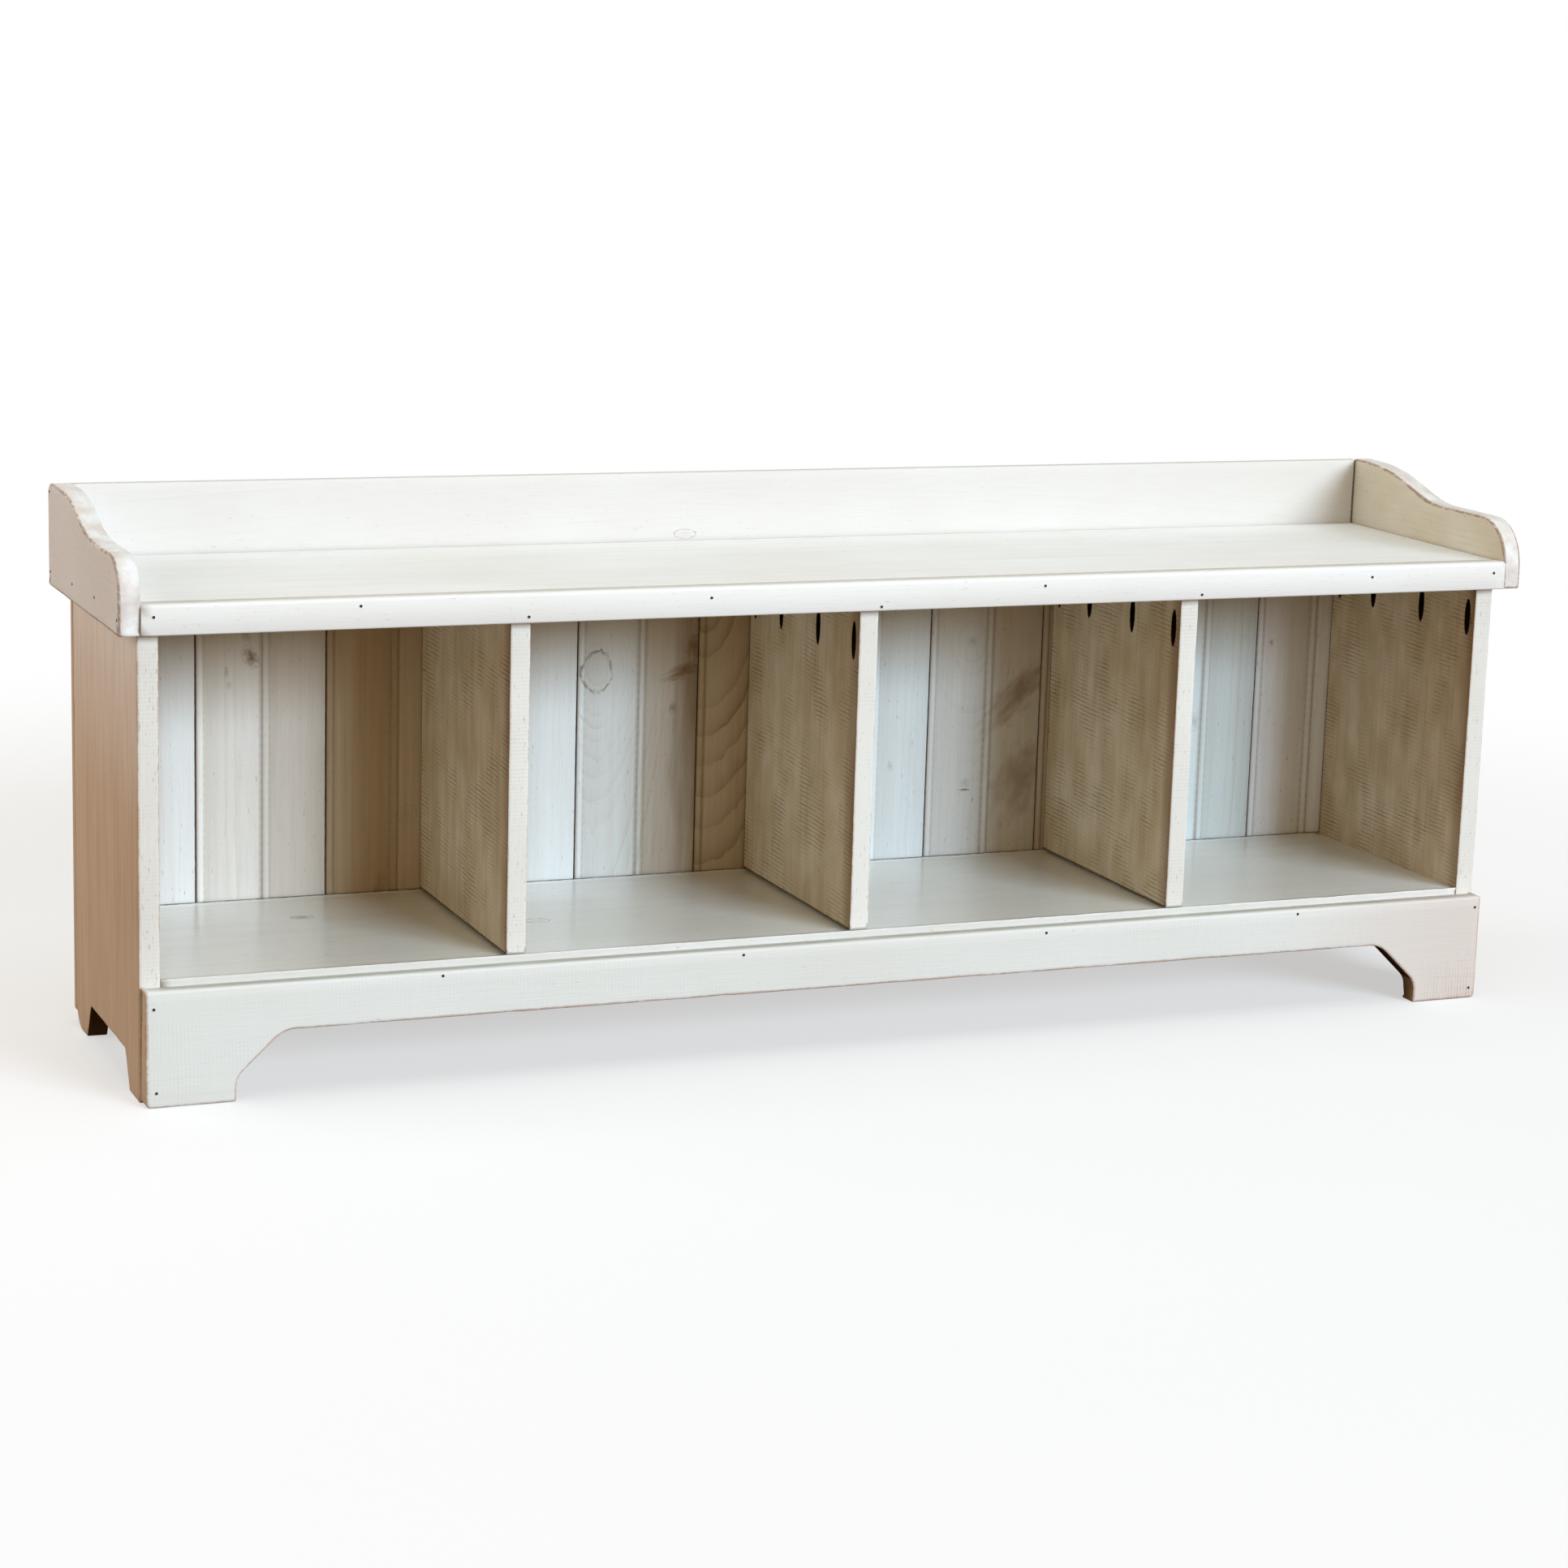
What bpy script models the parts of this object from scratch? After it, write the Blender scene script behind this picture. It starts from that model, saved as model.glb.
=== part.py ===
# Painted pine cubby bench: four open cubbies under a board seat with a low, scalloped gallery.
# Metres, +Z up, front towards -Y, standing on z = 0 with its middle over the origin.
import math

import bmesh
import bpy
from mathutils import Matrix, Vector

# Stock and joints
board = 0.0195  # thickness of every board except the gallery back and the back planks
joint_gap = 0.0003  # clearance between pieces that touch
edge_ease = 0.002  # rounding left on corners that a hand or a foot meets

# Carcass, with its depth measured back from the front edges of the end panels
carcass_length = 1.400  # over the outer faces of the end panels
panel_depth = 0.280
seat_height = 0.458
floor_height = 0.114  # top of the cubby floor
divider_drift = (0.0, 0.0035, 0.0040)  # how far each hand-set divider stands right of even spacing

# Feet cut into the end panels
end_arch_height = 0.035
end_front_foot = 0.042
end_rear_foot = 0.048
end_arch_splay = 0.019  # how far each foot widens from the floor to the arch
end_arch_radius = 0.008
end_heel_radius = 0.025  # round at the back of the rear foot

# Base apron over the front of the end panels and the cubby floor
apron_reveal = 0.0055  # floor edge left showing above the apron
apron_inset = 0.0015  # how far each end stands in from the end panel's face
apron_ease = 0.003
apron_arch_height = 0.064
left_foot_width = 0.083
right_foot_width = 0.0745
foot_side_height = 0.022  # straight side of a foot, below its bracket
foot_toe_radius = 0.005
bracket_run = 0.044
bracket_radius = 0.019  # where a bracket meets the side of its foot
bracket_shoulder_radius = 0.028  # where it meets the arch

# Seat
nosing_height = 0.028
nosing_round = 0.004

# Gallery round the seat, its back nailed to the seat's rear edge
gallery_back_thickness = 0.0115
gallery_rear_overhang = 0.0025  # beyond the back planks
gallery_back_rise = 0.069
gallery_end_rise = 0.070  # top of the ends above the seat, at the rear
gallery_arm_rise = 0.0405  # top of the ends above the seat, at the front
gallery_heel_radius = 0.012
gallery_end_setback = 0.002  # front of the ends behind the nosing's face

# Scallops of the gallery ends, each cut by hand: a level shoulder at the rear, a crown, a dip and a nose
left_shoulder = 0.096
left_scallop_run = 0.075
left_crown_radius = 0.200
left_dip_radius = 0.200
left_nose_radius = 0.036
right_shoulder = 0.0735
right_scallop_run = 0.090
right_crown_radius = 0.280
right_dip_radius = 0.150
right_nose_radius = 0.047

# Tongued and beaded back planks
plank_thickness = 0.010
plank_pitch = 0.1302
first_plank_width = 0.118  # ripped plank at the left end
narrowest_rip = 0.030  # a narrower last plank is shared with the first
plank_gap = 0.0008  # open line between two planks
plank_foot_gap = 0.014  # planks stop this far above the ground
tongue_length = 0.005
tongue_thickness = 0.003
bead_width = 0.0075
bead_depth = 0.0022
quirk_width = 0.002  # narrow hollow on the right of a bead
centre_quirk_width = 0.0045  # wide hollow on the left of the middle bead
centre_bead_place = 0.0697  # middle of that bead from the plank's left joint

# Pocket holes that hold the uprights to the seat
pocket_diameter = 0.0095
pocket_angle = math.radians(15)
pocket_length = 0.030  # from the mouth's middle to the flat end
pocket_mouth_drop = 0.0415  # mouth's middle below the seat board
pocket_places = (0.013, 0.101, 0.196, 0.265)  # back from an upright's front edge
drilled_dividers = (2, 3)  # counted from the left, since the first divider shows a plain face

# How finely the round stretches are drawn
arc_step = math.radians(9)
bead_steps = 8
pocket_sides = 16
weld_distance = 0.00001
flat_angle = math.radians(0.05)
smooth_angle = math.radians(30)
fillet_share = 0.96  # most of an edge that the rounds at its two ends may take together

# Worked out from the sizes above
half_length = carcass_length / 2
seat_underside = seat_height - board
upright_top = seat_underside - joint_gap
apron_height = floor_height - apron_reveal
plank_front = panel_depth + joint_gap
gallery_rear = plank_front + plank_thickness + gallery_rear_overhang
gallery_back_face = gallery_rear - gallery_back_thickness
seat_depth = gallery_back_face - joint_gap
front_overhang = board + joint_gap  # nosing and apron, proud of the end panels
nosing_base = seat_height - nosing_height

finish_values = {  # colour and roughness
    "white_front_paint": ("E6E6E2", 0.62),
    "white_seat_paint": ("ECEAE4", 0.55),
    "white_plank_paint": ("DAD7CF", 0.66),
    "thin_end_wash": ("B7A087", 0.70),
    "thin_divider_wash": ("CFC6B6", 0.70),
}


def linear_colour(hex_code):
    channels = [int(hex_code[i:i + 2], 16) / 255 for i in (0, 2, 4)]
    return [c / 12.92 if c <= 0.04045 else ((c + 0.055) / 1.055) ** 2.4 for c in channels] + [1.0]


def make_finish(name):
    colour, roughness = finish_values[name]
    material = bpy.data.materials.new(name)
    material.use_nodes = True
    shader = material.node_tree.nodes["Principled BSDF"]
    shader.inputs["Base Color"].default_value = linear_colour(colour)
    shader.inputs["Roughness"].default_value = roughness
    shader.inputs["Metallic"].default_value = 0.0
    return material


# An outline through corners (x, y, radius), with an arc at each corner that has a radius. Two rounds that
# don't fit on their common edge are drawn in alike.
def rounded(corners):
    places = [Vector((x, y)) for x, y, radius in corners]
    count = len(corners)
    reaches = []
    for i, (x, y, radius) in enumerate(corners):
        half_angle = (places[i - 1] - places[i]).angle(places[(i + 1) % count] - places[i]) / 2
        reaches.append(radius / math.tan(half_angle))
    outline = []
    for i, corner in enumerate(places):
        if reaches[i] == 0:
            outline.append(corner)
            continue
        back = places[i - 1] - corner
        ahead = places[(i + 1) % count] - corner
        half_angle = back.angle(ahead) / 2
        back_room = fillet_share * back.length / (reaches[i] + reaches[i - 1])
        ahead_room = fillet_share * ahead.length / (reaches[i] + reaches[(i + 1) % count])
        reach = reaches[i] * min(1, back_room, ahead_room)
        middle = (back.normalized() + ahead.normalized()).normalized()
        centre = corner + middle * reach / math.cos(half_angle)
        first = corner + back.normalized() * reach - centre
        last = corner + ahead.normalized() * reach - centre
        sweep = math.atan2(first.x * last.y - first.y * last.x, first.dot(last))
        steps = max(2, math.ceil(abs(sweep) / arc_step))
        for k in range(steps + 1):
            outline.append(centre + Matrix.Rotation(sweep * k / steps, 2) @ first)
    return outline


def rectangle(low_x, high_x, low_y, high_y):
    return [(low_x, low_y), (high_x, low_y), (high_x, high_y), (low_x, high_y)]


# How an outline stands: seen from above, from the front or from the right-hand side.
facings = {
    "plan": (0, 0, 0),
    "front": (math.pi / 2, 0, 0),
    "side": (math.pi / 2, 0, math.pi / 2),
}


# A board of one thickness, sawn to an outline. The centre is the middle of its thickness.
def saw_board(name, outline, thickness, facing, centre, finish):
    curve = bpy.data.curves.new(name, 'CURVE')
    curve.dimensions = '2D'
    curve.fill_mode = 'BOTH'
    curve.extrude = thickness / 2
    spline = curve.splines.new('POLY')
    spline.points.add(len(outline) - 1)
    for point, (x, y) in zip(spline.points, outline):
        point.co = (x, y, 0, 1)
    spline.use_cyclic_u = True
    pattern = bpy.data.objects.new(name + "_pattern", curve)
    parts.objects.link(pattern)
    evaluated = pattern.evaluated_get(bpy.context.evaluated_depsgraph_get())
    mesh = bpy.data.meshes.new_from_object(evaluated)
    bpy.data.objects.remove(pattern)

    shape = bmesh.new()
    shape.from_mesh(mesh)
    bmesh.ops.remove_doubles(shape, verts=shape.verts, dist=weld_distance)
    bmesh.ops.dissolve_limit(shape, angle_limit=flat_angle, verts=shape.verts, edges=shape.edges)
    bmesh.ops.recalc_face_normals(shape, faces=shape.faces)
    shape.to_mesh(mesh)
    shape.free()
    mesh.name = name
    mesh.materials.clear()
    mesh.materials.append(finishes[finish])
    mesh.shade_smooth()
    mesh.set_sharp_from_angle(angle=smooth_angle)

    piece = bpy.data.objects.new(name, mesh)
    piece.rotation_euler = facings[facing]
    piece.location = centre
    piece.parent = bench
    parts.objects.link(piece)
    return piece


# Slanted pocket holes at the top of an upright. Inward is the way from the drilled face into the wood.
def drill_pockets(upright, face_x, inward):
    radius = pocket_diameter / 2
    run_in = radius / math.tan(pocket_angle) + radius
    tilt = Matrix.Rotation(inward * pocket_angle, 4, 'Y')
    to_middle = Matrix.Translation((0, 0, (pocket_length - run_in) / 2))
    shape = bmesh.new()
    for place in pocket_places:
        mouth = Matrix.Translation((face_x, place, seat_underside - pocket_mouth_drop))
        bmesh.ops.create_cone(shape, cap_ends=True, segments=pocket_sides, radius1=radius, radius2=radius,
                              depth=pocket_length + run_in, matrix=mouth @ tilt @ to_middle)
    mesh = bpy.data.meshes.new(upright.name + "_pockets")
    shape.to_mesh(mesh)
    shape.free()
    cutter = bpy.data.objects.new(mesh.name, mesh)
    cutter.parent = bench
    cutter.hide_render = True
    cutter.display_type = 'WIRE'
    cutters.objects.link(cutter)
    cut = upright.modifiers.new("pockets", 'BOOLEAN')
    cut.operation = 'DIFFERENCE'
    cut.object = cutter


def make_end_panels():
    arch_front = end_front_foot + end_arch_splay
    arch_rear = panel_depth - end_rear_foot - end_arch_splay
    outline = rounded([
        (0, 0, edge_ease),
        (end_front_foot, 0, edge_ease),
        (arch_front, end_arch_height, end_arch_radius),
        (arch_rear, end_arch_height, end_arch_radius),
        (panel_depth - end_rear_foot, 0, edge_ease),
        (panel_depth, 0, end_heel_radius),
        (panel_depth, upright_top, 0),
        (0, upright_top, 0),
    ])
    for name, side in (("left_end_panel", -1), ("right_end_panel", 1)):
        centre = (side * (half_length - board / 2), 0, 0)
        panel = saw_board(name, outline, board, "side", centre, "thin_end_wash")
        drill_pockets(panel, side * (half_length - board), side)


def make_dividers():
    outline = rectangle(0, panel_depth, floor_height + joint_gap, upright_top)
    spacing = (carcass_length - board) / (len(divider_drift) + 1)
    for i, drift in enumerate(divider_drift):
        middle = -half_length + board / 2 + spacing * (i + 1) + drift
        name = "divider_%d" % (i + 1)
        divider = saw_board(name, outline, board, "side", (middle, 0, 0), "thin_divider_wash")
        if i + 1 in drilled_dividers:
            drill_pockets(divider, middle - board / 2, 1)


def make_cubby_floor():
    reach = half_length - board - joint_gap
    outline = rectangle(-reach, reach, 0, panel_depth)
    saw_board("cubby_floor", outline, board, "plan", (0, 0, floor_height - board / 2), "white_seat_paint")


def make_base_apron():
    end = half_length - apron_inset
    left_foot = -end + left_foot_width
    right_foot = end - right_foot_width
    outline = rounded([
        (-end, 0, foot_toe_radius),
        (left_foot, 0, edge_ease),
        (left_foot, foot_side_height, bracket_radius),
        (left_foot + bracket_run, apron_arch_height, bracket_shoulder_radius),
        (right_foot - bracket_run, apron_arch_height, bracket_shoulder_radius),
        (right_foot, foot_side_height, bracket_radius),
        (right_foot, 0, edge_ease),
        (end, 0, foot_toe_radius),
        (end, apron_height, 0),
        (-end, apron_height, 0),
    ])
    centre = (0, -joint_gap - board / 2, 0)
    apron = saw_board("base_apron", outline, board, "front", centre, "white_front_paint")
    ease_front_top(apron)


# Rounds the apron's upper front edge, which the outline runs square to.
def ease_front_top(apron):
    shape = bmesh.new()
    shape.from_mesh(apron.data)
    top_edges = [edge for edge in shape.edges
                 if all(abs(v.co.y - apron_height) < weld_distance and v.co.z > 0 for v in edge.verts)]
    bmesh.ops.bevel(shape, geom=top_edges, offset=apron_ease, segments=3, profile=0.5, affect='EDGES')
    shape.to_mesh(apron.data)
    shape.free()
    apron.data.set_sharp_from_angle(angle=smooth_angle)


def make_seat():
    outline = rectangle(-half_length, half_length, 0, seat_depth)
    saw_board("seat_board", outline, board, "plan", (0, 0, seat_height - board / 2), "white_seat_paint")
    section = rounded([
        (-front_overhang, nosing_base, edge_ease),
        (-joint_gap, nosing_base, 0),
        (-joint_gap, seat_height, 0),
        (-front_overhang, seat_height, nosing_round),
    ])
    saw_board("seat_nosing", section, carcass_length, "side", (0, 0, 0), "white_front_paint")


def make_gallery():
    section = rounded([
        (gallery_back_face, seat_underside, 0),
        (gallery_rear, seat_underside, 0),
        (gallery_rear, seat_height + gallery_back_rise, edge_ease),
        (gallery_back_face, seat_height + gallery_back_rise, edge_ease),
    ])
    saw_board("gallery_back", section, carcass_length, "side", (0, 0, 0), "white_front_paint")

    left = (left_shoulder, left_scallop_run, left_crown_radius, left_dip_radius, left_nose_radius)
    right = (right_shoulder, right_scallop_run, right_crown_radius, right_dip_radius, right_nose_radius)
    make_gallery_end("left_gallery_end", -1, *left)
    make_gallery_end("right_gallery_end", 1, *right)


def make_gallery_end(name, side, shoulder, scallop_run, crown_radius, dip_radius, nose_radius):
    front = gallery_end_setback - front_overhang
    crown = gallery_rear - shoulder
    end_top = seat_height + gallery_end_rise
    arm_top = seat_height + gallery_arm_rise
    outline = rounded([
        (front, nosing_base, edge_ease),
        (gallery_rear, nosing_base, edge_ease),
        (gallery_rear, end_top, gallery_heel_radius),
        (crown, end_top, crown_radius),
        (crown - scallop_run, arm_top, dip_radius),
        (front, arm_top, nose_radius),
    ])
    centre = (side * (half_length + joint_gap + board / 2), 0, 0)
    saw_board(name, outline, board, "side", centre, "white_front_paint")


# The round of a bead, from its left hollow to its right one, as depths below the plank's face.
def bead(start):
    outline = []
    for k in range(bead_steps + 1):
        turn = math.pi * k / bead_steps
        outline.append((start + bead_width / 2 * (1 - math.cos(turn)), bead_depth * (1 - math.sin(turn))))
    return outline


# A plank seen from above, its face at y = 0. A ripped edge has no tongue or groove.
def plank_section(left, right, has_tongue, has_groove, bead_middle):
    tongue_front = (plank_thickness - tongue_thickness) / 2
    tongue_rear = tongue_front + tongue_thickness
    section = bead(left) + [(left + bead_width + quirk_width, 0)] if has_tongue else [(left, 0)]
    start = bead_middle - bead_width / 2
    flat_left = section[-1][0] + quirk_width
    flat_right = right - quirk_width
    if start - centre_quirk_width > flat_left and start + bead_width + quirk_width < flat_right:
        section += [(start - centre_quirk_width, 0)] + bead(start) + [(start + bead_width + quirk_width, 0)]
    section.append((right, 0))
    if has_groove:
        root = right - (tongue_length - plank_gap + joint_gap)
        groove_front = tongue_front - joint_gap
        groove_rear = tongue_rear + joint_gap
        section += [(right, groove_front), (root, groove_front), (root, groove_rear), (right, groove_rear)]
    section += [(right, plank_thickness), (left, plank_thickness)]
    if has_tongue:
        tip = left - tongue_length
        section += [(left, tongue_rear), (tip, tongue_rear), (tip, tongue_front), (left, tongue_front)]
    return section


def make_back_planks():
    count = math.ceil((carcass_length - first_plank_width) / plank_pitch)
    last_width = carcass_length - first_plank_width - plank_pitch * (count - 1)
    first_width = first_plank_width - max(0, narrowest_rip - last_width)
    height = upright_top - plank_foot_gap
    centre = (0, plank_front, plank_foot_gap + height / 2)
    for i in range(count + 1):
        is_first = i == 0
        is_last = i == count
        joint = -half_length + first_width + plank_pitch * (i - 1)
        left = -half_length if is_first else joint + plank_gap / 2
        right = half_length if is_last else joint + plank_pitch - plank_gap / 2
        section = plank_section(left, right, not is_first, not is_last, joint + centre_bead_place)
        saw_board("back_plank_%02d" % (i + 1), section, height, "plan", centre, "white_plank_paint")


for old in list(bpy.data.objects):
    bpy.data.objects.remove(old)
parts = bpy.data.collections.new("cubby_bench")
cutters = bpy.data.collections.new("cubby_bench_cutters")
for collection in (parts, cutters):
    bpy.context.scene.collection.children.link(collection)
finishes = {name: make_finish(name) for name in finish_values}
bench = bpy.data.objects.new("bench_middle", None)
bench.location.y = (front_overhang - gallery_rear) / 2
parts.objects.link(bench)

make_end_panels()
make_dividers()
make_cubby_floor()
make_base_apron()
make_seat()
make_gallery()
make_back_planks()
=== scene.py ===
import math
from functools import partial

import bmesh
import bpy
from mathutils import Matrix, Vector, noise


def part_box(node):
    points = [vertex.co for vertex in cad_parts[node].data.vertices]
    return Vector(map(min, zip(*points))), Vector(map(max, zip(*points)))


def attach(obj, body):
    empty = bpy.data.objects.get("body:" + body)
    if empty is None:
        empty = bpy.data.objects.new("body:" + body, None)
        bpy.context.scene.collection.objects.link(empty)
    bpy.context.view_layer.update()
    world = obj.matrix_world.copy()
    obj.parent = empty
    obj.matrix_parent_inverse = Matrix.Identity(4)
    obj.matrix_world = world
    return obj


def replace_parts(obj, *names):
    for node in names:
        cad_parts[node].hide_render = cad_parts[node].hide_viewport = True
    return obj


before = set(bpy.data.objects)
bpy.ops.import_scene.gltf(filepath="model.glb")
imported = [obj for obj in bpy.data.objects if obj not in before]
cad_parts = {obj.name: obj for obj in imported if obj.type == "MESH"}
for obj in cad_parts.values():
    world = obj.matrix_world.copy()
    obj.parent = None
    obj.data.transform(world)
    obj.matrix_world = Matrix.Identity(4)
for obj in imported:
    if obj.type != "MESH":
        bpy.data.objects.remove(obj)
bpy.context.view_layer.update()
scene = bpy.context.scene
scene.view_settings.view_transform = 'Standard'
mm = 0.001


def srgb(code):
    parts = [int(code[i:i + 2], 16) / 255 for i in (1, 3, 5)]
    return [p / 12.92 if p <= 0.04045 else ((p + 0.055) / 1.055) ** 2.4 for p in parts] + [1.0]


# Adds a node. Inputs are values, hex colours, or nodes and sockets to link; settings are its own fields.
def addNode(tree, kind, inputs=None, **settings):
    made = tree.nodes.new("ShaderNode" + kind)
    for field, value in settings.items():
        setattr(made, field, value)
    for key, value in (inputs or {}).items():
        socket = made.inputs[key] if isinstance(key, int) else next(
            s for s in made.inputs if s.name == key and s.enabled)
        if isinstance(value, str):
            value = srgb(value)
        if isinstance(value, bpy.types.Node):
            value = next(s for s in value.outputs if s.enabled)
        if isinstance(value, bpy.types.NodeSocket):
            tree.links.new(value, socket)
        else:
            socket.default_value = value
    return made


# Short calls for the nodes that are used most: arithmetic, a mapped range, and two colours mixed
def nodeTools(tree):
    add = partial(addNode, tree)

    def calc(operation, *values, **settings):
        return add("Math", dict(enumerate(values)), operation=operation, **settings)

    def ramp(value, start, full, low=0.0, high=1.0, way='LINEAR'):
        ends = {"From Min": start, "From Max": full, "To Min": low, "To Max": high}
        return add("MapRange", {"Value": value, **ends}, interpolation_type=way)

    def blend(share, below, above):
        return add("Mix", {"Factor": share, "A": below, "B": above}, data_type='RGBA')

    return add, calc, ramp, blend


def emptyMaterial(name):
    material = bpy.data.materials.new(name)
    material.use_nodes = True
    material.node_tree.nodes.clear()
    return material, nodeTools(material.node_tree)


# How every painted board is finished unless its own call says otherwise. Sizes are millimetres.
paintedBoard = {
    "paint": "#E8E9E6", "paintDrift": "#E3E2DC",  # two tones of one hand-mixed paint
    "driftSize": 170, "driftLong": 1.6,
    "wood": "#B98F70", "woodLate": "#7E5D43", "lateTone": 0.6,  # pine under the paint, and its latewood
    "ringWidth": 7, "ringStretch": 0.16, "ringFade": 1000, "ringSway": 9, "ringShow": 0.05,
    "ringWaver": 0.4, "ringGate": (0.35, 0.6), "lateSharp": 2.5,
    "fibreWidth": 1.1, "fibreLength": 46, "fibreShow": 0.06, "fineDetail": 3.0,
    "streakWidth": 10, "streakLength": 260, "streakShow": 0.0, "streak": "#CFC8BA",
    "sawPitch": 3.6, "sawRadius": 900, "sawPatch": (95, 76), "sawGate": (0.40, 0.62), "sawBase": 0.0,
    "sawShow": 0.10, "saw": "#A59C90", "sawSway": 5, "strokeLeast": 0.2,
    "edgeShow": 0.6, "edgeStart": 1.85, "edgeSoft": 0.4,  # a lower start leaves fewer breaks in the wear
    "thin": 0.02, "rubFibre": 0.5, "rubRib": 1.2,  # wood seen through thin paint, and in rubbed spots
    "dirt": "#3E2E20", "dirtShow": 0.85, "dirtBreaks": (0.8, 0.5),  # grime in the seams between boards
    "speckShow": 0.5, "speckStart": 0.69, "speckSoft": 0.09, "speck": "#5F554B",
    "tint": "#8A6844", "tintShow": 0.8, "tintStreaks": (0.8, 0.6),  # a tint laid where a board is marked; on the plank halves in the dividers' shadow it is painted shade, mixed with the wood's stains
    "ageing": None,  # a third tone, the axis it comes in along, and where it starts and is full, in metres; on the planks it is painted shade under the seat
    "roughness": 0.62, "bareRougher": 0.12, "shine": 0.5, "ior": 1.46, "coat": 0.0, "coatRoughness": 0.22,
    "relief": 0.35, "reliefDepth": 0.5, "bareDepth": 0.5, "speckDepth": 0.8,
    "knots": (),  # centre in metres, radii in millimetres, lean, darkness of the outline and of the core
    "grooved": False,
}
# Noise that breaks up the paint: millimetres across and along the board, its detail and its bend
patterns = {
    "sway": (60, 320),  # slow bends of the rings and the saw's ribs
    "chip": (3.2, 7, 4.0),  # ragged borders of worn and grimy places
    "speck": (1.5, 8),
    "stretch": (70, 70),  # lengths of an edge that are worn, and lengths that aren't
    "waver": (11, 18, 3.0),
    "band": (35, 420),
    "sawStroke": (41, 2.3, 2.0, 2.0),
}
# Where each pattern starts to show, and where it shows fully
shows = {
    "drift": (0.35, 0.65), "streak": (0.45, 0.72), "rib": (-0.1, 0.9), "sawStroke": (0.35, 0.65),
    "rubbed": (0.75, 1.6), "fibre": (0.45, 0.75), "grime": (1.05, 1.4),
}
knotLook = {
    "outline": "#40362C", "core": "#7D5E3E",
    "strokeScale": 2.4, "strokeDetail": 4.0,
    "waver": 0.5, "chip": 0.35, "place": 1.425, "half": 0.11,  # of the outline, in radii of the knot
    "gap": (0.38, 0.55), "gapLeast": 0.1,  # breaks in the outline
    "drawnOut": 1.6, "coreEdge": (0.95, 1.8),
}
glaze = {"colour": "#93805F", "pitch": 9, "tick": (-0.5, 0.5), "show": (0.38, 0.5)}


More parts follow.
